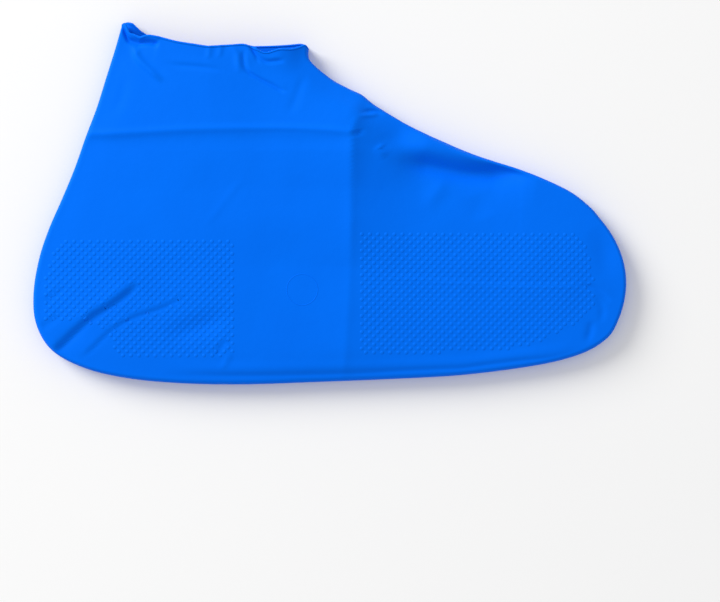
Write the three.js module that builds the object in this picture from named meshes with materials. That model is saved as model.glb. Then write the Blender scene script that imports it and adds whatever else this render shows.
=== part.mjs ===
// A stretch-on shoe cover of dip-moulded latex, lying on its side.
// Millimetres. The toe points to +X, the ankle opening to +Y, and it rests on z = 0.
import * as THREE from "three";

const WALL = 1.0; // latex wall
const EDGE_HEIGHT = 4.5; // half the height of the edge where the upper side turns into the lower
const EDGE_WIDTH = 2.5; // and how far in from the edge it curves
const CROWN = 4.0; // rise of the upper side above its edge, in the middle
const CROWN_REACH = 15; // distance in from the edge over which it rises
const FOLD_START = 2.5; // folds fade in from this distance inside the edge
const FOLD_FULL = 9; // and have their full size from this one
const RIM_LINE_REACH = 9; // unevenness of the rim dies out over this distance below it
const RIM_REACH = 14; // and a dip in the front of the rim over this one

const RINGS_PER_SECTION = 2;
const TOE_RINGS = 4; // in the last section, closer together where the toe closes
const EDGE_STEPS = [0, 0.4, 1.3, 2.6, 5]; // distances from both ends of a line across
const MIDDLE_STEPS = 15; // equal steps between them
const OUTLINE_STEPS = 8; // steps of the measured outline in each section
const TOE_OUTLINE_STEPS = 40; // and across the toe

const LATEX_BLUE = 0x006cf8;

// Turns rows of numbers into objects with the columns' names.
function table(columns, rows) {
  return rows.map((row) => Object.fromEntries(columns.map((name, i) => [name, row[i]])));
}

// Lines across the flattened cover, fanned from the ankle rim round the heel to the toe. Each runs
// from the back, heel or sole edge to the shin, instep or toe edge, and its middle bows onward.
const SECTIONS = table(
  ["backX", "backY", "frontX", "frontY", "bow"],
  [
    [-94.6, 80.6, -9.2, 69.0, 4.6], // ankle rim
    [-97.6, 70.2, -9.0, 63.6, 3.5],
    [-101.6, 57.5, 0.5, 56.7, 2.0],
    [-106.0, 43.5, 8.2, 52.4, 1.0],
    [-111.1, 30.0, 14.5, 49.4, 0.0],
    [-116.0, 16.0, 19.5, 45.4, 0.0],
    [-121.8, 2.0, 23.6, 42.7, 0.0],
    [-127.9, -12.0, 27.2, 40.5, 0.0],
    [-132.3, -25.5, 30.4, 38.6, 0.0],
    [-134.8, -41.0, 33.4, 36.8, 0.0], // widest point of the heel
    [-133.6, -55.0, 36.4, 35.2, 0.0],
    [-126.4, -67.0, 39.6, 33.6, 0.0],
    [-111.7, -75.0, 43.2, 31.9, 0.0],
    [-92.0, -79.7, 47.4, 29.9, 0.0],
    [-67.0, -82.0, 52.5, 27.7, 0.0],
    [-39.0, -82.5, 58.8, 24.9, 0.0],
    [-8.0, -81.5, 66.5, 21.9, 0.0],
    [25.0, -80.2, 75.5, 18.9, 0.0],
    [57.0, -78.5, 86.0, 15.6, 0.5],
    [84.0, -75.4, 98.0, 10.9, 1.5],
    [103.5, -71.9, 110.0, 5.0, 3.0],
    [117.5, -67.3, 118.5, -1.7, 5.2],
    [126.2, -61.6, 122.6, -6.4, 7.0],
    [129.7, -57.0, 125.4, -9.8, 7.3], // toe, where the two sides meet
  ],
);

// Ridges (rise above 0) and dents (below 0) in the upper side, each along a straight run.
const FOLDS = table(
  ["fromX", "fromY", "toX", "toY", "rise", "width"],
  [
    [13, 46, 10.4, -10, 1.2, 9], // packing fold across the foot, upper half
    [10.4, -10, 7, -80, 1.2, 9], // and lower half
    [-112, 31.3, 10, 31.3, 1.3, 5], // packing fold across the ankle
    [-126, -67, -83, -36, -2.2, 5], // main dent of the heel
    [-110, -67, -65, -38, -1.2, 4], // shallow dent beside it
    [36.8, 22.4, 86, 14.5, -1.6, 5], // valley along the instep
    [15, -37.6, 118, -38, -0.7, 5], // crease along the forefoot
    [-47, 71, -25, 52, -1.0, 5], // slack below the front of the rim
    [-94, 76, -76, 57, -1.2, 5], // slack below the back corner of the rim
  ],
);

// How far the rim stands above (or below) its plain bowed line, by share of the way from its back
// corner to its front corner.
const RIM_LINE = table(
  ["share", "rise"],
  [
    [0.0, 0.0],
    [0.045, 2.5],
    [0.07, 2.3],
    [0.1, -0.3],
    [0.15, -0.9],
    [0.47, -0.3],
    [0.56, 1.1],
    [0.66, 2.6],
    [0.96, 3.9],
    [1.0, 0.0],
  ],
);

// Places where the front of the rim hangs lower than the back of it.
const RIM_DIPS = table(
  ["x", "depth", "width"],
  [
    [-92.3, 3.2, 3.0],
    [-88.4, 4.2, 4.0],
    [-29, 4.0, 6.0],
    [-17, 3.0, 7.0],
  ],
);

// The value of a column part way along the sections, on a smooth curve through all of them.
function smoothAt(column, place) {
  const last = SECTIONS.length - 1;
  const start = Math.min(Math.floor(place), last - 1);
  const value = (i) => SECTIONS[THREE.MathUtils.clamp(i, 0, last)][column];
  const [a, b, c, d] = [-1, 0, 1, 2].map((step) => value(start + step));
  const u = place - start;
  const bend = (2 * a - 5 * b + 4 * c - d) * u * u + (3 * b - a - 3 * c + d) * u ** 3;
  return b + 0.5 * ((c - a) * u + bend);
}

// A point on the line across at a place, a share of the way from its back end to its front end.
function pointAcross(place, share) {
  const back = new THREE.Vector2(smoothAt("backX", place), smoothAt("backY", place));
  const front = new THREE.Vector2(smoothAt("frontX", place), smoothAt("frontY", place));
  const line = front.clone().sub(back);
  const onward = new THREE.Vector2(line.y, -line.x).normalize();
  const bow = 4 * share * (1 - share) * smoothAt("bow", place);
  return back.addScaledVector(line, share).addScaledVector(onward, bow);
}

function lengthAcross(place) {
  return pointAcross(place, 0).distanceTo(pointAcross(place, 1));
}

// Shares of the way across, close together at both edges.
function sharesAcross(place) {
  const length = lengthAcross(place);
  const edge = EDGE_STEPS.map((step) => step / length);
  const inner = edge.at(-1);
  const middle = [];
  for (let i = 1; i < MIDDLE_STEPS; i++) {
    middle.push(inner + ((1 - 2 * inner) * i) / MIDDLE_STEPS);
  }
  return [...edge, ...middle, ...edge.map((share) => 1 - share).reverse()];
}

// Places of the rings, from the rim to the toe.
function ringPlaces() {
  const last = SECTIONS.length - 1;
  const places = [];
  for (let i = 0; i < (last - 1) * RINGS_PER_SECTION; i++) places.push(i / RINGS_PER_SECTION);
  for (let i = 0; i <= TOE_RINGS; i++) {
    places.push(last - 1 + Math.sin(((i / TOE_RINGS) * Math.PI) / 2));
  }
  return places;
}

// The edge of the cover from the back corner of the rim, round the toe, to its front corner.
function edgeOutline() {
  const last = SECTIONS.length - 1;
  const steps = last * OUTLINE_STEPS;
  const back = [];
  const toe = [];
  const front = [];
  for (let i = 0; i <= steps; i++) {
    back.push(pointAcross((last * i) / steps, 0));
    front.push(pointAcross((last * (steps - i)) / steps, 1));
  }
  for (let i = 1; i < TOE_OUTLINE_STEPS; i++) toe.push(pointAcross(last, i / TOE_OUTLINE_STEPS));
  return [...back, ...toe, ...front];
}

function distanceToRun(point, from, to) {
  const run = to.clone().sub(from);
  const along = THREE.MathUtils.clamp(point.clone().sub(from).dot(run) / run.lengthSq(), 0, 1);
  return point.distanceTo(from.clone().addScaledVector(run, along));
}

const OUTLINE = edgeOutline();

function distanceToEdge(point) {
  let nearest = Infinity;
  for (let i = 1; i < OUTLINE.length; i++) {
    nearest = Math.min(nearest, distanceToRun(point, OUTLINE[i - 1], OUTLINE[i]));
  }
  return nearest;
}

function bell(distance, width) {
  return Math.exp(-((distance / width) ** 2));
}

// Height of the folds and dents over a point of the upper side.
function foldHeight(point) {
  let height = 0;
  for (const fold of FOLDS) {
    const from = new THREE.Vector2(fold.fromX, fold.fromY);
    const to = new THREE.Vector2(fold.toX, fold.toY);
    height += fold.rise * bell(distanceToRun(point, from, to), fold.width);
  }
  return height;
}

// Both heights of the cover over a point: the rounded edge, the crown and the folds.
function heights(point) {
  const inside = distanceToEdge(point);
  const turn = 1 - Math.min(inside / EDGE_WIDTH, 1);
  const round = Math.sqrt(1 - turn * turn);
  const crown = CROWN * (1 - bell(inside, CROWN_REACH));
  const folds = foldHeight(point) * THREE.MathUtils.smoothstep(inside, FOLD_START, FOLD_FULL);
  return {
    lower: EDGE_HEIGHT * (1 - round),
    upper: EDGE_HEIGHT * (1 + round) + crown + folds,
  };
}

// How far the uneven rim moves a point of the lower side, and of the upper side, towards +Y.
function rimMoves(point, share) {
  const below = point.distanceTo(pointAcross(0, share));
  const next = Math.max(RIM_LINE.findIndex((row) => row.share >= share), 1);
  const [from, to] = [RIM_LINE[next - 1], RIM_LINE[next]];
  const part = (share - from.share) / (to.share - from.share);
  const both = THREE.MathUtils.lerp(from.rise, to.rise, part) * bell(below, RIM_LINE_REACH);
  let dip = 0;
  for (const row of RIM_DIPS) dip += row.depth * bell(point.x - row.x, row.width);
  return { lower: both, upper: both - dip * bell(below, RIM_REACH) };
}

// Rings of the outside: each starts on the back edge, crosses the upper side to the front edge and
// comes back under the lower side. The last ring is the toe's edge, shared by both sides.
function outsideRings() {
  const positions = [];
  const rings = [];
  const add = (x, y, z) => positions.push(x, y, z) / 3 - 1;
  const places = ringPlaces();
  for (const place of places) {
    const upper = [];
    const lower = [];
    for (const share of sharesAcross(place)) {
      const point = pointAcross(place, share);
      if (place === places.at(-1) || share === 0 || share === 1) {
        upper.push(add(point.x, point.y, EDGE_HEIGHT));
        lower.push(upper.at(-1));
      } else {
        const height = heights(point);
        const move = rimMoves(point, share);
        upper.push(add(point.x, point.y + move.upper, height.upper));
        lower.push(add(point.x, point.y + move.lower, height.lower));
      }
    }
    rings.push([...upper, ...lower.slice(1, -1).reverse()]);
  }
  return { positions, rings };
}

// The triangles between neighbouring rings, left out where the shared toe ring closes on itself.
function ringFaces(rings) {
  const faces = [];
  const add = (a, b, c) => {
    if (a !== b && b !== c && c !== a) faces.push(a, b, c);
  };
  for (let r = 1; r < rings.length; r++) {
    const [near, far] = [rings[r - 1], rings[r]];
    for (let i = 0; i < near.length; i++) {
      const next = (i + 1) % near.length;
      add(near[i], far[i], far[next]);
      add(near[i], far[next], near[next]);
    }
  }
  return faces;
}

// A wall of even thickness: the outside, the same surface moved in, and the lip that joins them.
function wallGeometry() {
  const { positions, rings } = outsideRings();
  const outsideFaces = ringFaces(rings);
  const outside = new THREE.BufferGeometry();
  outside.setAttribute("position", new THREE.Float32BufferAttribute(positions, 3));
  outside.setIndex(outsideFaces);
  outside.computeVertexNormals();
  const normals = outside.getAttribute("normal").array;
  const inside = positions.map((value, i) => value - WALL * normals[i]);

  const count = positions.length / 3;
  const faces = [...outsideFaces];
  for (let i = 0; i < outsideFaces.length; i += 3) {
    const [a, b, c] = outsideFaces.slice(i, i + 3);
    faces.push(a + count, c + count, b + count);
  }
  const rim = rings[0];
  rim.forEach((here, i) => {
    const next = rim[(i + 1) % rim.length];
    faces.push(here, next, next + count, here, next + count, here + count);
  });

  const wall = new THREE.BufferGeometry();
  wall.setAttribute("position", new THREE.Float32BufferAttribute([...positions, ...inside], 3));
  wall.setIndex(faces);
  wall.computeVertexNormals();
  return wall;
}

// Puts the middle of the footprint over the origin.
function centred(geometry) {
  geometry.computeBoundingBox();
  const middle = geometry.boundingBox.getCenter(new THREE.Vector3());
  return geometry.translate(-middle.x, -middle.y, -geometry.boundingBox.min.z);
}

const latex = new THREE.MeshStandardMaterial({
  color: LATEX_BLUE,
  roughness: 0.55,
  metalness: 0,
});

const coverShell = new THREE.Mesh(centred(wallGeometry()), latex);
coverShell.name = "cover_shell";

const shoeCover = new THREE.Group();
shoeCover.add(coverShell);

export default shoeCover;
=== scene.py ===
"""A stretch-on shoe cover of dip-moulded latex, lying on its side."""
import math
from types import SimpleNamespace

import bmesh
import bpy
import numpy as np
from mathutils import Matrix, Vector, noise


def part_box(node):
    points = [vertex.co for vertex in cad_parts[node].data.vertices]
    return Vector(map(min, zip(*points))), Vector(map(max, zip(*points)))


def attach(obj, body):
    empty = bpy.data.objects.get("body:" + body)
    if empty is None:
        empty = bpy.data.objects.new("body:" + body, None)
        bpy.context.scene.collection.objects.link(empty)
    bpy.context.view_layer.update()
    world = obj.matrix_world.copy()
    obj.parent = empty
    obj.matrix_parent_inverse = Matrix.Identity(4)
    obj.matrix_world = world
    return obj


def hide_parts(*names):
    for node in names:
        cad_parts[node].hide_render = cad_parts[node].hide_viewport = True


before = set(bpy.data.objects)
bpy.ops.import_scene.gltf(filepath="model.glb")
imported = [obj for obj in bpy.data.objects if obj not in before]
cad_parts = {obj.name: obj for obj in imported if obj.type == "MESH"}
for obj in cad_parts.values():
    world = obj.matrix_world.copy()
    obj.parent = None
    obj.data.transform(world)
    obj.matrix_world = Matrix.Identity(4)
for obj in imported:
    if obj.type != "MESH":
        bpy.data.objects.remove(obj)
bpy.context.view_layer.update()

# The tables below are in millimetres, on a cover of this length, and +X points to the toe.
TABLE_LENGTH = 270.0
SHELL_LOW, SHELL_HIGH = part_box("cover_shell")
MM = (SHELL_HIGH.x - SHELL_LOW.x) / TABLE_LENGTH

WALL = 1.0  # latex wall
LIP_RADIUS = 0.68  # rolled edge of the rim
LIP_RINGS = 7
LIP_SPREAD = math.radians(25)  # how far the roll turns back on to both faces of the wall
LIP_SMOOTHING = 3  # steps on both sides over which its direction is evened out
EDGE_HEIGHT = 4.5  # half the height of the edge where the upper side turns into the lower side
EDGE_WIDTH = 1.8  # and how far in from the edge it curves
CROWN = 1.8  # rise of the upper side above its edge
CROWN_REACH = 30.0
RIDGE_START = 8.0  # distance inside the edge over which the ridges rise
FOLD_START, FOLD_FULL = 0.3, 2.6  # distances inside the edge over which folds reach full size

RING_STEP = 1.2  # distance between rings of the outside
RIM_STEP = 0.75  # and in the first sections below the rim
RIM_SECTIONS = 3
TOE_RINGS = 12
EDGE_TURNS = 8  # steps round the curved edge, and distances of the next steps inside it
EDGE_STEPS = [EDGE_WIDTH * (1 - math.cos(math.pi / 2 * i / EDGE_TURNS)) for i in range(EDGE_TURNS + 1)]
EDGE_STEPS += [2.7, 3.3, 4.0, 4.9]
LOWER_STEPS = 22  # equal steps across the rest of the plain lower side
FINER = 5  # and the steps of the upper side are so many times finer
UPPER_STEPS = LOWER_STEPS * FINER
OUTLINE_STEPS = 8  # steps of the measured outline in each section
TOE_OUTLINE_STEPS = 48

# The inside repeats the outside at the rim, and turns plainer over the later half of these rings.
RIM_RINGS = 40
INSIDE_SKIP = 7  # past them it takes only every seventh ring
INSIDE_TOE_RINGS = (7, 3, 1)  # and at the toe only these, counted from its end
WIDE_FOLD = 3.0  # there it follows only folds as wide as this or wider
INSIDE_SLACK = 1.7  # so it lies this much further in
SLACK_START, SLACK_FULL = 0.8, 3.2  # distances inside the edge over which that comes in

WELD = 0.004  # points of the shell closer than this are one
TOE_SEAM_STEP = 0.9  # the lower side's steps along the toe seam are longer than this


def rows(names, *data):
    """A table's rows as objects with the columns' names."""
    return [SimpleNamespace(**dict(zip(names.split(), row))) for row in data]


# Lines across the flattened cover, fanned from the ankle rim round the heel to the toe. Each runs
# from the back, heel or sole edge to the shin, instep or toe edge, and its middle bows onward.
SECTIONS = rows(
    "back_x back_y front_x front_y bow",
    (-94.6, 80.6, -9.6, 70.0, 4.6),  # ankle rim
    (-97.6, 70.2, -8.7, 64.6, 3.5),
    (-101.6, 57.5, 0.5, 56.7, 2.0),
    (-106.0, 43.5, 8.2, 52.4, 1.0),
    (-111.1, 30.0, 14.5, 49.4, 0.0),
    (-116.0, 16.0, 19.5, 45.4, 0.0),
    (-121.8, 2.0, 23.6, 42.7, 0.0),
    (-127.9, -12.0, 27.2, 40.5, 0.0),
    (-132.3, -25.5, 30.4, 38.6, 0.0),
    (-134.8, -41.0, 33.4, 36.8, 0.0),  # widest point of the heel
    (-133.6, -55.0, 36.4, 35.2, 0.0),
    (-126.4, -67.0, 39.6, 33.6, 0.0),
    (-111.7, -75.0, 43.2, 31.9, 0.0),
    (-92.0, -79.7, 47.4, 29.9, 0.0),
    (-67.0, -82.0, 52.5, 27.7, 0.0),
    (-39.0, -82.5, 58.8, 24.9, 0.0),
    (-8.0, -81.5, 66.5, 21.9, 0.0),
    (25.0, -80.2, 75.5, 18.9, 0.0),
    (57.0, -78.5, 86.0, 15.6, 0.5),
    (84.0, -75.4, 98.0, 10.9, 1.5),
    (103.5, -71.9, 110.0, 5.0, 3.0),
    (117.5, -67.3, 118.5, -1.7, 5.2),
    (126.2, -61.6, 122.6, -6.4, 7.0),
    (129.7, -57.0, 125.4, -9.8, 7.3),  # toe, where the two sides meet
)
LAST = len(SECTIONS) - 1

# How far the rim stands above (or below) its plain line, by share of the way from back to front.
RIM_LINE = ((0, 0), (0.012, 1.45), (0.027, 2.2), (0.045, 2.45), (0.067, 2.35), (0.087, 1.05),
            (0.104, -0.5), (0.121, -0.95), (0.15, -1.0), (0.21, -0.7), (0.3, -1.0), (0.4, -0.8),
            (0.47, -0.85), (0.56, 0.45), (0.66, 1.85), (0.74, 2.25), (0.83, 2.5), (0.9, 2.7),
            (0.955, 2.9), (0.975, 2.4), (0.99, 1.2), (1, 0))
RIM_LINE_REACH = 9.0

# Places where the front of the rim hangs lower than the back of it.
RIM_DIPS = rows(
    "x depth width",
    (-92.3, 3.2, 3.0),
    (-88.4, 4.2, 4.0),
    (-29.0, 4.0, 6.0),
    (-17.0, 3.0, 7.0),
)
RIM_DIP_REACH = 12.0
RIM_CORNER = 0.045  # share of the rim at each end over which the dips come in
CURL_X, CURL_WIDTH, CURL_RISE, CURL_REACH = -90.0, 7.0, 3.4, 9.0  # there its back curls up
CURL_START = 0.05  # share of the rim over which the curl comes in

# The packing fold across the foot, from the sole to the instep, and the slopes beside it: its
# height dies out over one distance on its left and over another on its right.
PACKING_FOLD = ((5.4, -100), (6.6, -82), (8.0, -61), (9.4, -36), (10.0, -7), (10.3, 20), (10.6, 31),
                (11.6, 35), (13.0, 38), (13.2, 41), (15.2, 48), (20, 66), (26, 88))
RIDGES = rows(
    "height left right ends path",
    (3.0, 70, 40, 0.05, PACKING_FOLD),
    (2.0, 50, 10, 0.15, ((9.8, -30), (10.0, -7), (10.3, 20), (10.6, 31), (13.1, 40), (16, 50),
                         (21, 68), (26, 88))),
    (2.0, 50, 12, 0.2, ((10.3, 5), (10.4, 22), (10.6, 31), (13.1, 40), (16, 50), (21, 68),
                        (26, 88))),
)

FOLD_LIP = 3  # a fold's lips reach so many times its width

# Folds of the upper side. Each follows a path; its crest rises (or sinks) by rise, falling away
# over width, with lips beside it; step lifts the side on the left of the path, dying out over
# reach; ends is the share of the path over which each end fades.
FOLDS = rows(
    "rise width lip step reach ends path",
    # packing folds
    (0.1, 2.2, 0.0, 0.2, 3, 0.01, PACKING_FOLD),
    (0.55, 1.6, 0.0, 0.2, 9, 0.04, ((-113, 31.2), (-100, 31.2), (-82, 32.1), (-59, 33.1),
                                    (-23, 33.5), (-2, 32.6), (11, 31.3))),
    (0.0, 3.4, 0.0, 1.1, 9, 0.1, ((-113, 28.6), (-82, 29.5), (-59, 30.2), (-23, 30), (10, 29))),
    # heel
    (-0.9, 1.5, 0.1, 1.7, 9, 0.16, ((-126.5, -69), (-121.5, -64.6), (-114, -57.4), (-107.2, -51.6),
                                    (-99.6, -47), (-92, -41.4), (-86, -36))),
    (-0.5, 4.5, 0.0, 0.0, 1, 0.4, ((-125, -68), (-118, -61), (-110, -54.5))),
    (-0.4, 0.9, 0.1, 0.5, 7, 0.2, ((-113, -71), (-107.9, -66.6), (-99.6, -58.6), (-90.5, -52.8),
                                   (-83, -50), (-73.1, -46.5), (-64, -41))),
    (-0.3, 1.5, 0.2, 0.2, 5, 0.3, ((-131, -57), (-127, -54.5), (-121, -50))),
    (-0.25, 1.4, 0.2, 0.2, 5, 0.3, ((-129, -45.5), (-125, -42), (-119, -38.5))),
    (-1.0, 5.0, 0.2, 0.6, 9, 0.4, ((-76, -60), (-60, -56), (-44, -50))),
    (-0.4, 1.3, 0.3, 0.0, 1, 0.3, ((-51, -69), (-48.6, -65), (-46.5, -62))),
    (0.3, 1.4, 0.3, 0.0, 1, 0.3, ((-48.6, -75.6), (-46.6, -71.5), (-44.6, -67.4))),
    # ankle
    (-1.9, 1.3, 0.1, 1.5, 4, 0.14, ((-95.2, 80.2), (-93.2, 78.5), (-90.3, 76.5), (-86.7, 76.2),
                                    (-83.1, 74.5), (-79.6, 73.2), (-77, 72.6))),
    (1.2, 1.6, 0.2, 0.0, 1, 0.25, ((-88, 74.5), (-87.9, 72.2), (-87, 68.2), (-85.2, 64.4),
                                   (-82.6, 61.2), (-78.3, 57.2), (-75, 54.5))),
    (-0.8, 1.0, 0.3, 0.3, 2.5, 0.15, ((-39.2, 67.4), (-38.8, 65.4), (-38.6, 63), (-38.1, 60.6),
                                    (-36.2, 58.6), (-31.6, 56.7), (-26.6, 53.8), (-22.4, 51),
                                    (-20, 49.2))),
    (0.45, 1.2, 0.0, 0.0, 1, 0.3, ((-46.2, 71), (-42.2, 66.6), (-41.4, 62.6), (-40.5, 57.6))),
    (-0.5, 1.0, 0.3, 0.0, 1, 0.3, ((-37.2, 71.4), (-35, 68.9), (-33, 65.9), (-32.4, 63.2))),
    (-0.8, 1.0, 0.3, 0.3, 2, 0.2, ((-36, 69.8), (-34.6, 68.4), (-31.3, 66.5), (-27.9, 65.4),
                                   (-23.4, 64.6), (-20, 64.4))),
    (-0.35, 2.0, 0.3, 0.0, 1, 0.35, ((-11.2, 59), (-13, 53), (-15.8, 45), (-18.6, 38.6))),
    (-0.4, 1.4, 0.3, 0.3, 4, 0.35, ((-75, 64), (-68.7, 62.4), (-60.8, 61.8), (-54.4, 61),
                                    (-45.6, 59))),
    (0.4, 1.2, 0.3, 0.0, 1, 0.3, ((-54.2, 72), (-54.4, 69), (-54.7, 65))),
    (0.4, 1.2, 0.3, 0.0, 1, 0.3, ((-49, 72), (-49.3, 69), (-49.8, 65))),
    (-0.25, 2.6, 0.2, 0.0, 1, 0.4, ((-92, 60), (-94, 48), (-99, 38))),
    # where the packing folds cross
    (-0.9, 1.5, 0.0, 0.0, 1, 0.5, ((12.6, 33), (12.9, 31.3), (12.9, 29))),
    (0.5, 1.0, 0.0, 0.4, 2.5, 0.3, ((13.7, 39.2), (17.5, 39.3), (22, 39.8))),
    (-0.6, 1.0, 0.0, 0.5, 2.5, 0.3, ((15, 41.2), (20, 41.8), (26, 41))),
    (0.8, 1.1, 0.0, 0.0, 1, 0.3, ((24.6, 26), (22.6, 24.6), (23.6, 22.6), (26, 20.4))),
    (-1.0, 8.5, 0.0, 0.0, 1, 0.5, ((24, 42), (29, 33), (31, 26), (31, 20))),
    # instep
    (-3.9, 4.8, 0.0, 10.0, 10, 0.3, ((27, 25), (33, 22), (39, 19.8), (45, 18.4), (53, 16.7),
                                    (60, 15.4), (66, 14.9), (73, 15), (80, 15), (88, 14.8),
                                    (95, 13.8))),
    (0.5, 3.5, 0.0, 0.0, 1, 0.4, ((53, 13), (50, 7), (47, 2.5), (43, -4))),
    (-0.4, 5.0, 0.0, 0.0, 1, 0.5, ((66, 4), (70, -8))),
    # middle of the foot
    (0.12, 1.6, 0.0, 0.0, 1, 0.3, ((-58, -13), (-50, -3), (-44, 5), (-38, 12))),
    # forefoot and toe
    (0.15, 1.2, 0.0, -0.25, 6, 0.15, ((24, -33.6), (40, -34.6), (60, -36.4), (84, -37.6),
                                      (104, -37.6), (114, -37.4))),
    (-0.45, 1.2, 0.2, 0.2, 3, 0.3, ((115, -37), (119.6, -38.4), (123.6, -41.4), (127.4, -45.4))),
    (-0.7, 5.0, 0.0, 0.0, 1, 0.5, ((119, -11), (124.6, -22), (126, -36))),
    (-0.55, 1.6, 0.0, 0.0, 1, 0.4, ((118.4, -53), (118.2, -58), (116.4, -64))),
    (-0.4, 1.5, 0.0, 0.0, 1, 0.4, ((120.6, -41.5), (123.6, -48), (122.8, -55))),
    # moulded roll along the sole and the line beside it
    (0.55, 2.8, 0.0, 0.0, 1, 0.2, ((-80, -75), (-62, -75.2), (-36.5, -75.4), (8, -74.6),
                                   (32, -73.6), (50, -72.9), (60, -72.5), (72, -71), (84, -69.4),
                                   (103, -66.9), (114, -62.6))),
    (-0.35, 0.9, 0.0, 0.0, 1, 0.2, ((-78, -77.8), (-60, -78), (-36.5, -78.2), (8, -77.2),
                                    (32, -76), (50, -75.2), (60, -74.8), (72, -73.2), (84, -71.7),
                                    (103, -69.6), (116, -65))),
)

# Slow unevenness of the slack latex.
SLACK = rows("size height seed", (46.0, 0.5, 3.1), (17.0, 0.3, 11.7))

# Tread: raised dots in staggered rows, in a zone of the heel and one of the forefoot.
DOT_PITCH = 3.68  # from dot to dot in a row
DOT_ROW = 1.84  # from row to row
DOT_RADIUS = 1.45
DOT_TOP = 0.4  # radius of a dot's flat top
DOT_HEIGHT = 0.08
DOT_SUNK = 0.08  # how deep its foot lies in the film
LIFT = DOT_HEIGHT  # the cover rests on its dots
DOT_SIDES = 8
DOT_BEND = 0.15  # dots are lost where a crease bends the film more than this across them
HEEL_ZONE = ((-119, -16.2), (-42.4, -16.2), (-42.4, -69.6), (-97, -69.6), (-99.6, -62.3),
             (-106, -56), (-114, -52), (-122, -54), (-129.5, -54), (-130.4, -44), (-129, -33),
             (-124.6, -22))
FOREFOOT_ZONE = ((14.6, -13), (109, -13), (115.6, -17), (118.9, -26.8), (120.4, -37.8),
                 (120.4, -46), (117.4, -51.7), (111, -55.6), (103.5, -59), (96, -62.8),
                 (84, -65.8), (50, -67.8), (14.6, -69.4))

MARK_X, MARK_Y = -12.3, -39.4  # plain moulded ring at mid-foot
MARK_RADIUS = 7.0
MARK_LINE = 0.3  # radius of its round line
MARK_SUNK = 0.2  # how deep the middle of the line lies in the film
MARK_SIDES = 8
MARK_STEPS = 96
MARK_WELD = 0.01


# ---- the cover's surface as a function of place ----

def smooth_at(values, place):
    """Values of a list part way along it, on a smooth curve through all of them."""
    values = np.asarray(values, float)
    place = np.asarray(place, float)
    last = len(values) - 1
    start = np.minimum(np.floor(place).astype(int), last - 1)
    a, b, c, d = (values[np.clip(start + step, 0, last)] for step in (-1, 0, 1, 2))
    u = place - start
    if values.ndim > 1:
        u = u[:, None]
    bend = (2 * a - 5 * b + 4 * c - d) * u**2 + (3 * b - a - 3 * c + d) * u**3
    return b + 0.5 * ((c - a) * u + bend)


def section_at(column, place):
    """A column of the sections' table, at places between its rows."""
    return smooth_at([getattr(row, column) for row in SECTIONS], place)


def points_across(place, share):
    """Points on the lines across at the places, at the shares of the way from back to front."""
    back = np.stack([section_at("back_x", place), section_at("back_y", place)], -1)
    front = np.stack([section_at("front_x", place), section_at("front_y", place)], -1)
    line = front - back
    onward = np.stack([line[..., 1], -line[..., 0]], -1)
    onward /= np.linalg.norm(onward, axis=-1, keepdims=True)
    bow = 4 * share * (1 - share) * section_at("bow", place)
    return back + line * share[..., None] + onward * bow[..., None]


def edge_outline():
    """The cover's edge from the back corner of the rim, round the toe, to its front corner."""
    places = np.linspace(0, LAST, LAST * OUTLINE_STEPS + 1)
    shares = np.linspace(0, 1, TOE_OUTLINE_STEPS + 1)[1:-1]
    back = points_across(places, np.zeros_like(places))
    toe = points_across(np.full_like(shares, LAST), shares)
    front = points_across(places, np.ones_like(places))[::-1]
    return np.concatenate([back, toe, front])


def beside_path(points, path):
    """Each point's distance from a path, its share of the way along, and the path's run there."""
    nearest = np.full(len(points), np.inf)
    along = np.zeros(len(points))
    runs = np.zeros((len(points), 2))
    for i, (start, end) in enumerate(zip(path[:-1], path[1:])):
        run = end - start
        away = points - start
        t = np.clip(away @ run / (run @ run), 0, 1)
        distance = np.linalg.norm(away - t[:, None] * run, axis=1)
        closer = distance < nearest
        nearest[closer] = distance[closer]
        along[closer] = (i + t[closer]) / (len(path) - 1)
        runs[closer] = run / np.linalg.norm(run)
    return nearest, along, runs


def smoothstep(value, low, high):
    """0 up to low, 1 from high, and a smooth rise between them."""
    t = np.clip((value - low) / (high - low), 0, 1)
    return t * t * (3 - 2 * t)


def bell(distance, width):
    """1 at no distance, dying out over the width."""
    return np.exp(-((distance / width) ** 2))


OUTLINE = edge_outline()


def beside_fold(points, corners):
    """Distances from a fold's smoothed path, shares of the way along it, and its sides (1 left)."""
    corners = np.asarray(corners, float)
    path = smooth_at(corners, np.linspace(0, len(corners) - 1, 6 * len(corners)))
    distance, along, runs = beside_path(points, path)
    away = points - smooth_at(corners, along * (len(corners) - 1))
    return distance, along, np.sign(runs[:, 0] * away[:, 1] - runs[:, 1] * away[:, 0])


def fold_height(points, narrow_share):
    """Height of all the folds over points of the upper side, with a share of the narrow ones."""
    height = np.zeros(len(points))
    for fold in FOLDS:
        distance, along, side = beside_fold(points, fold.path)
        fade = smoothstep(along, 0, fold.ends) * smoothstep(1 - along, 0, fold.ends)
        lips = fold.lip * bell(distance, FOLD_LIP * fold.width)
        crest = fold.rise * (bell(distance, fold.width) - lips)
        level = 0.5 * fold.step * side * np.exp(-distance / fold.reach)
        level *= np.tanh(distance / fold.width)
        height += fade * (crest + level) * (1 if fold.width >= WIDE_FOLD else narrow_share)
    return height


def ridge_height(points):
    """Height of the slopes that fall away on both sides of the packing fold."""
    height = np.zeros(len(points))
    for ridge in RIDGES:
        distance, along, left = beside_fold(points, ridge.path)
        reach = np.where(left > 0, ridge.left, ridge.right)
        fade = smoothstep(along, 0, ridge.ends) * smoothstep(1 - along, 0, ridge.ends)
        height += ridge.height * fade * np.exp(-distance / reach)
    return height


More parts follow.
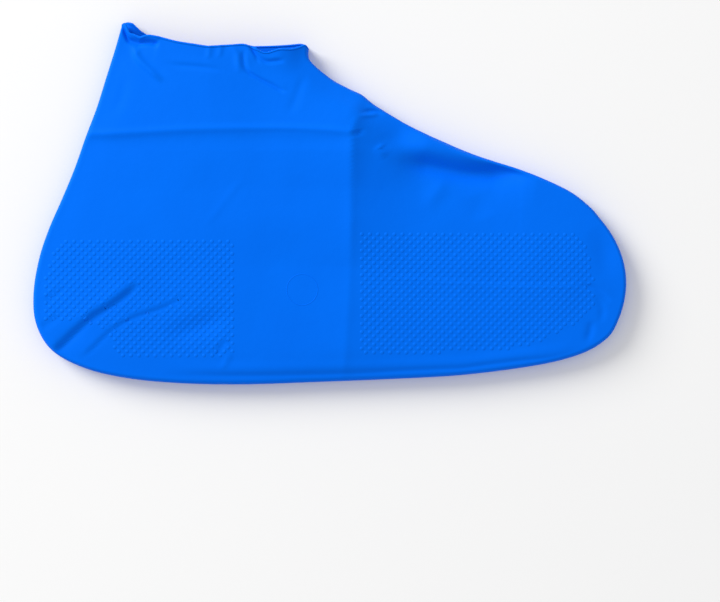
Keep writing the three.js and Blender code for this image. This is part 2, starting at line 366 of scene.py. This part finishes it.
def slack_height(points):
    """Height of the slow unevenness at points of the upper side."""
    height = np.zeros(len(points))
    for slack in SLACK:
        height += [slack.height * noise.noise(Vector((x / slack.size, y / slack.size, slack.seed)))
                   for x, y in points]
    return height


def edge_rounding(points):
    """Each point's distance inside the edge, and how far the edge's curve has risen there."""
    inside = beside_path(points, OUTLINE)[0]
    turn = 1 - np.minimum(inside / EDGE_WIDTH, 1)
    return inside, np.sqrt(1 - turn * turn)


def lower_heights(points):
    """Heights of the lower side, flat inside its rounded edge."""
    return LIFT + (EDGE_HEIGHT - LIFT) * (1 - edge_rounding(points)[1])


def upper_heights(points, narrow_share=1.0):
    """Heights of the upper side: edge, crown, slack, slopes and folds."""
    inside, rounding = edge_rounding(points)
    crown = (CROWN + slack_height(points)) * (1 - bell(inside, CROWN_REACH))
    crown += ridge_height(points) * (1 - bell(inside, RIDGE_START))
    folds = smoothstep(inside, FOLD_START, FOLD_FULL) * fold_height(points, narrow_share)
    return EDGE_HEIGHT * (1 + rounding) + crown + folds


def lay_on(bm, upper):
    """Lays details made on the plane z = 0 on to the upper side, or under the lower side."""
    bm.verts.ensure_lookup_table()
    places = np.array([vert.co for vert in bm.verts])
    if upper:
        places[:, 2] += upper_heights(places[:, :2])
    else:
        places[:, 2] = LIFT - places[:, 2]
    for vert, place in zip(bm.verts, centred(places)):
        vert.co = place
    bmesh.ops.recalc_face_normals(bm, faces=bm.faces)


# ---- the shell ----

def ring_places():
    """Places of the outside's rings from the rim to the toe, about a ring step apart."""
    places = []
    for i in range(LAST - 1):
        here, there = SECTIONS[i], SECTIONS[i + 1]
        back = math.dist((here.back_x, here.back_y), (there.back_x, there.back_y))
        front = math.dist((here.front_x, here.front_y), (there.front_x, there.front_y))
        count = math.ceil(max(back, front) / (RIM_STEP if i < RIM_SECTIONS else RING_STEP))
        places += [i + step / count for step in range(count)]
    quarter = np.linspace(0, math.pi / 2, TOE_RINGS + 1)
    return np.array(places + list(LAST - 1 + np.sin(quarter)))


def shares_across(places, middle_steps):
    """For each place, shares of the way across, close together at both edges."""
    back = points_across(places, np.zeros_like(places))
    front = points_across(places, np.ones_like(places))
    length = np.linalg.norm(front - back, axis=1)[:, None]
    edge = np.array(EDGE_STEPS)[None, :] / length
    steps = np.linspace(0, 1, middle_steps + 1)[None, 1:-1]
    middle = edge[:, -1:] + (1 - 2 * edge[:, -1:]) * steps
    return np.concatenate([edge, middle, 1 - edge[:, ::-1]], axis=1)


def rim_moves(points, shares):
    """How far points near the rim move in Y on both sides, and up on the lower side."""
    wave_at = np.interp(shares, *zip(*RIM_LINE))
    rim = points_across(np.zeros_like(shares), shares)
    below = np.linalg.norm(points - rim, axis=-1)
    both = wave_at * bell(below, RIM_LINE_REACH)
    dip = sum(row.depth * bell(points[..., 0] - row.x, row.width) for row in RIM_DIPS)
    dip *= smoothstep(np.minimum(shares, 1 - shares), 0, RIM_CORNER)
    curl = CURL_RISE * bell(points[..., 0] - CURL_X, CURL_WIDTH) * bell(below, CURL_REACH)
    return both, both - dip * bell(below, RIM_DIP_REACH), curl * smoothstep(shares, 0, CURL_START)


def side_grid(places, middle_steps, narrow_share=None):
    """Grid of 3-D points of the upper side, or of the lower one, which has no folds."""
    shares = shares_across(places, middle_steps)
    shape = shares.shape
    flat = points_across(np.repeat(places, shape[1]), shares.ravel())
    both, front, curl = rim_moves(flat.reshape(*shape, 2), shares)
    if narrow_share is None:
        heights, moves = lower_heights(flat) + curl.ravel(), both
    else:
        heights, moves = upper_heights(flat, np.repeat(narrow_share, shape[1])), front
    moves[:, [0, -1]] = 0
    moves[places >= LAST] = 0
    flat = flat.reshape(*shape, 2)
    return np.dstack([flat[..., 0], flat[..., 1] + moves, heights.reshape(shape)])


def ring_grid(places, narrow_share):
    """Closed rings: over the upper side from back to front, and back under the lower side."""
    up = side_grid(places, UPPER_STEPS, narrow_share)
    down = side_grid(places, LOWER_STEPS)
    return np.concatenate([up, down[:, -2:0:-1]], axis=1)


def ring_normals(grid):
    """Outward normals of a grid of rings."""
    round_ring = np.roll(grid, -1, axis=1) - np.roll(grid, 1, axis=1)
    onward = np.gradient(grid, axis=0)
    normals = np.cross(onward, round_ring)
    size = np.linalg.norm(normals, axis=2, keepdims=True)
    return normals / np.maximum(size, 1e-9)


def edge_normals(grid):
    """Outward normals where the surface is only the rounded edge."""
    flat = grid[..., :2].reshape(-1, 2)
    inside, _, runs = beside_path(flat, OUTLINE)
    turn = (1 - np.minimum(inside / EDGE_WIDTH, 1)).reshape(grid.shape[:2])
    outward = np.stack([runs[:, 1], -runs[:, 0]], -1).reshape(*grid.shape[:2], 2)
    up = np.sqrt(1 - turn * turn) * np.sign(grid[..., 2] - EDGE_HEIGHT)
    return np.dstack([outward * turn[..., None], up])


def inside_rings(places):
    """Rings of the inside from the rim to the toe, smooth and loose away from the rim."""
    count = len(places)
    keep = [i for i in range(count) if i < RIM_RINGS or i % INSIDE_SKIP == 0]
    keep = [i for i in keep if i < count - TOE_RINGS] + [count - i for i in INSIDE_TOE_RINGS]
    deep = smoothstep(np.array(keep), RIM_RINGS / 2, RIM_RINGS)
    plain = ring_grid(places[keep], 1 - deep)
    normals = ring_normals(plain)
    toe = places[keep] >= LAST - 1
    normals[toe] = edge_normals(plain[toe])
    upper = np.arange(plain.shape[1]) < 2 * len(EDGE_STEPS) + UPPER_STEPS - 1
    within = edge_rounding(plain[..., :2].reshape(-1, 2))[0].reshape(plain.shape[:2])
    slack = INSIDE_SLACK * deep[:, None] * upper * smoothstep(within, SLACK_START, SLACK_FULL)
    return plain - normals * (WALL + slack)[..., None]


def lip_rings(outside):
    """Rings of the rolled lip, from the inside round to the outside."""
    rim = outside[0]
    normals = ring_normals(outside[:3])[0]
    middle = rim - normals * WALL / 2
    out = np.cross(normals, np.roll(rim, -1, axis=0) - np.roll(rim, 1, axis=0))
    out /= np.maximum(np.linalg.norm(out, axis=1, keepdims=True), 1e-9)
    out *= np.sign((out * (rim - outside[1])).sum(1, keepdims=True))
    out = sum(np.roll(out, step, axis=0) for step in range(-LIP_SMOOTHING, LIP_SMOOTHING + 1))
    out /= np.maximum(np.linalg.norm(out, axis=1, keepdims=True), 1e-9)
    turns = np.linspace(-math.pi / 2 - LIP_SPREAD, math.pi / 2 + LIP_SPREAD, LIP_RINGS)
    return [middle + LIP_RADIUS * (math.sin(t) * normals + math.cos(t) * out) for t in turns]


def closed_toe(ring):
    """The last ring, its upper points put on the straight steps between its fewer lower points."""
    toe = np.array([float(LAST)])
    fine, coarse = shares_across(toe, UPPER_STEPS)[0], shares_across(toe, LOWER_STEPS)[0]
    count = len(fine)
    lower = np.concatenate([ring[:1], ring[:count - 1:-1], ring[count - 1:count]])
    upper = np.stack([np.interp(fine, coarse, column) for column in lower.T], -1)
    return np.concatenate([upper, ring[count:]])


def shell_rings():
    """Rings from the toe's inside, out round the rolled lip of the rim, to the toe's outside."""
    places = ring_places()
    outside = ring_grid(places, np.ones(len(places)))
    inward = inside_rings(places)[::-1]
    rings = np.concatenate([inward[:-1], np.array(lip_rings(outside)), outside[1:]])
    rings[0], rings[-1] = closed_toe(rings[0]), closed_toe(rings[-1])
    return rings


def centred(points):
    """Points in metres, with the corner of the table's footprint where the CAD part has it."""
    corner = OUTLINE.min(0) * MM
    return np.array(points, float) * MM + (SHELL_LOW.x - corner[0], SHELL_LOW.y - corner[1], SHELL_LOW.z)


def finish_piece(bm, name, material):
    """A piece of the latex moulding from its finished mesh."""
    mesh = bpy.data.meshes.new(name)
    bm.to_mesh(mesh)
    bm.free()
    for face in mesh.polygons:
        face.use_smooth = True
    piece = bpy.data.objects.new(name, mesh)
    bpy.context.collection.objects.link(piece)
    mesh.materials.append(material)
    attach(piece, "root")
    return piece


def build_shell(material):
    """A sheet of rubber wrapped into the cover: a grid closed along its length and at both toes."""
    rings = centred(shell_rings())
    along, around = rings.shape[:2]
    bm = bmesh.new()
    bmesh.ops.create_grid(bm, x_segments=around, y_segments=along - 1, size=0.5)
    for vert in bm.verts:
        i = round((vert.co.x + 0.5) * around) % around
        j = round((vert.co.y + 0.5) * (along - 1))
        vert.co = rings[j, i]
    bmesh.ops.remove_doubles(bm, verts=bm.verts, dist=WELD * MM)
    toe = [edge for edge in bm.edges if edge.is_boundary and edge.calc_length() > TOE_SEAM_STEP * MM]
    bmesh.ops.subdivide_edges(bm, edges=toe, cuts=FINER - 1)
    bmesh.ops.remove_doubles(bm, verts=bm.verts, dist=WELD * MM)
    bmesh.ops.recalc_face_normals(bm, faces=bm.faces)
    shell = finish_piece(bm, "latex_shell", material)
    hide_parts("cover_shell")
    return shell


# ---- moulded details ----

def in_zone(x, y, corners):
    """Whether a point lies inside a zone with the given corners."""
    inside = False
    for (ax, ay), (bx, by) in zip(corners, corners[1:] + corners[:1]):
        if (ay > y) != (by > y) and x < ax + (y - ay) * (bx - ax) / (by - ay):
            inside = not inside
    return inside


def dot_places(corners):
    """Centres of the staggered dots in a zone."""
    lows = [min(c[k] for c in corners) for k in (0, 1)]
    highs = [max(c[k] for c in corners) for k in (0, 1)]
    places = []
    for row in range(int((highs[1] - lows[1]) / DOT_ROW) + 1):
        y = highs[1] - DOT_RADIUS - row * DOT_ROW
        x = lows[0] + (row % 2) * DOT_PITCH / 2
        while x < highs[0]:
            if in_zone(x, y, corners):
                places.append((x, y))
            x += DOT_PITCH
    return places


def build_tread(name, corners, upper, material):
    """Low round studs, moulded on the upper or the lower side."""
    bm = bmesh.new()
    places = np.array(dot_places(corners))
    if upper:
        ahead, behind, left, right = (upper_heights(places + step) for step in
                                      DOT_RADIUS * np.array([(1, 0), (-1, 0), (0, 1), (0, -1)]))
        here = upper_heights(places)
        bend = np.maximum(abs(ahead + behind - 2 * here), abs(left + right - 2 * here)) / 2
        places = places[bend < DOT_BEND]
    for x, y in places:
        bmesh.ops.create_cone(
            bm, cap_ends=True, segments=DOT_SIDES, radius1=DOT_RADIUS, radius2=DOT_TOP,
            depth=DOT_HEIGHT + DOT_SUNK,
            matrix=Matrix.Translation((x, y, (DOT_HEIGHT - DOT_SUNK) / 2)))
    lay_on(bm, upper)
    return finish_piece(bm, name, material)


def build_mark(material):
    """The plain moulded ring at mid-foot."""
    bm = bmesh.new()
    bmesh.ops.create_circle(
        bm, segments=MARK_SIDES, radius=MARK_LINE, matrix=Matrix.Translation((MARK_RADIUS, 0, 0))
        @ Matrix.Rotation(math.pi / 2, 4, "X"))
    bmesh.ops.spin(bm, geom=bm.verts[:] + bm.edges[:], cent=(0, 0, 0), axis=(0, 0, 1),
                   angle=math.tau, steps=MARK_STEPS, use_merge=True)
    bmesh.ops.remove_doubles(bm, verts=bm.verts, dist=MARK_WELD)
    bmesh.ops.translate(bm, verts=bm.verts, vec=(MARK_X, MARK_Y, -MARK_SUNK))
    lay_on(bm, True)
    return finish_piece(bm, "moulded_ring", material)


# ---- finish ----

def srgb(code):
    """A colour's sRGB hex value as linear red, green, blue and alpha."""
    channels = [int(code[i:i + 2], 16) / 255 for i in (1, 3, 5)]
    linear = [c / 12.92 if c <= 0.04045 else ((c + 0.055) / 1.055) ** 2.4 for c in channels]
    return (*linear, 1.0)


def add(tree, kind, settings=None, links=None):
    """One node, its settings (names of inputs or of properties) and what is linked into it."""
    node = tree.nodes.new(kind)
    for key, value in (settings or {}).items():
        if key in node.inputs:
            node.inputs[key].default_value = value
        else:
            setattr(node, key, value)
    for key, source in (links or {}).items():
        tree.links.new(source, node.inputs[key])
    return node


# Sizes of the latex's patterns, in millimetres.
CLOUD_SIZE = 32.0
PEEL_SIZE = 4.0  # slow ripple of the dipped skin
GRAIN_SIZE = 0.7  # the true grain is finer, and this coarse it just shows


def dipped_latex(name, deep, pale):
    """Dip-moulded latex: matt, even and deep blue, with a fine grain and faint clouding."""
    material = bpy.data.materials.new(name)
    material.use_nodes = True
    tree = material.node_tree
    tree.nodes.clear()
    place = add(tree, "ShaderNodeTexCoord").outputs["Object"]
    cloud = add(tree, "ShaderNodeTexNoise", {"Scale": 1 / (CLOUD_SIZE * MM), "Detail": 3.0},
                {"Vector": place})
    colour = add(tree, "ShaderNodeMix", {"data_type": "RGBA"})
    colour.inputs[6].default_value = srgb(deep)
    colour.inputs[7].default_value = srgb(pale)
    tree.links.new(cloud.outputs["Fac"], colour.inputs[0])
    grain = add(tree, "ShaderNodeTexNoise", {"Scale": 1 / (GRAIN_SIZE * MM), "Detail": 2.0},
                {"Vector": place})
    peel = add(tree, "ShaderNodeTexNoise", {"Scale": 1 / (PEEL_SIZE * MM), "Detail": 2.0},
               {"Vector": place})
    rough = add(tree, "ShaderNodeMapRange", {"To Min": 0.5, "To Max": 0.64},
                {"Value": peel.outputs["Fac"]})
    fine = add(tree, "ShaderNodeBump", {"Strength": 0.35, "Distance": 0.06 * MM},
               {"Height": grain.outputs["Fac"]})
    soft = add(tree, "ShaderNodeBump", {"Strength": 0.4, "Distance": 0.16 * MM},
               {"Height": peel.outputs["Fac"], "Normal": fine.outputs["Normal"]})
    shader = add(tree, "ShaderNodeBsdfPrincipled", {"IOR": 1.52, "Specular IOR Level": 0.025},
                 {"Base Color": colour.outputs[2], "Roughness": rough.outputs["Result"],
                  "Normal": soft.outputs["Normal"]})
    add(tree, "ShaderNodeOutputMaterial", links={"Surface": shader.outputs["BSDF"]})
    return material


def pale_floor():
    """A matt white table top."""
    material = bpy.data.materials.new("matt_white_table")
    material.use_nodes = True
    shader = material.node_tree.nodes["Principled BSDF"]
    shader.inputs["Base Color"].default_value = srgb("#f5f5f5")
    shader.inputs["Roughness"].default_value = 0.9
    shader.inputs["Specular IOR Level"].default_value = 0.1
    return material


# ---- stage, light and camera ----

FLOOR_SIZE = 6.0
VIEW_WIDTH = 328.0  # width that the camera sees at the cover's edge
VIEW_X, VIEW_Y = 13.7, -44.0  # middle of the view
LENS = 100.0
SENSOR = 36.0


def build_stage():
    """The table top under the cover."""
    bm = bmesh.new()
    bmesh.ops.create_grid(bm, x_segments=1, y_segments=1, size=FLOOR_SIZE / 2)
    bmesh.ops.translate(bm, verts=bm.verts, vec=(0, 0, SHELL_LOW.z))
    mesh = bpy.data.meshes.new("table_top")
    bm.to_mesh(mesh)
    bm.free()
    mesh.materials.append(pale_floor())
    floor = bpy.data.objects.new("table_top", mesh)
    bpy.context.collection.objects.link(floor)


def add_softbox(name, place, size, power):
    """A round soft light that points at the cover."""
    light = bpy.data.lights.new(name, "AREA")
    light.shape = "DISK"
    light.size = size
    light.energy = power
    lamp = bpy.data.objects.new(name, light)
    lamp.location = place
    lamp.rotation_euler = (-Vector(place)).to_track_quat("-Z", "Y").to_euler()
    bpy.context.collection.objects.link(lamp)


def build_light():
    """Even white light from all round, and one low softbox beyond the heel and the ankle."""
    world = bpy.data.worlds.new("studio_fill")
    world.use_nodes = True
    background = world.node_tree.nodes["Background"]
    background.inputs["Color"].default_value = srgb("#ffffff")
    background.inputs["Strength"].default_value = 0.65
    bpy.context.scene.world = world
    add_softbox("key_softbox", place=(-2.2, 1.65, 1.45), size=1.8, power=88)


def build_camera():
    """A camera that looks straight down."""
    camera = bpy.data.cameras.new("camera")
    camera.lens = LENS
    camera.sensor_width = SENSOR
    eye = bpy.data.objects.new("camera", camera)
    distance = VIEW_WIDTH * MM * LENS / SENSOR
    eye.location = (VIEW_X * MM, VIEW_Y * MM, SHELL_LOW.z + EDGE_HEIGHT * MM + distance)
    bpy.context.collection.objects.link(eye)
    bpy.context.scene.camera = eye


build_camera()
build_stage()
build_light()
film = dipped_latex("dipped_latex", "#0069ec", "#006ef3")
dot_film_painted_highlight = dipped_latex("dot_latex_painted_highlight", "#026bed", "#0370f4")  # raised dots, tinted a little paler: a painted highlight for the light they catch
build_shell(film)
for title, zone in (("heel", HEEL_ZONE), ("forefoot", FOREFOOT_ZONE)):
    build_tread(title + "_tread_upper", zone, True, dot_film_painted_highlight)
    build_tread(title + "_tread_lower", zone, False, dot_film_painted_highlight)
build_mark(film)

bpy.context.scene.view_settings.view_transform = "Standard"
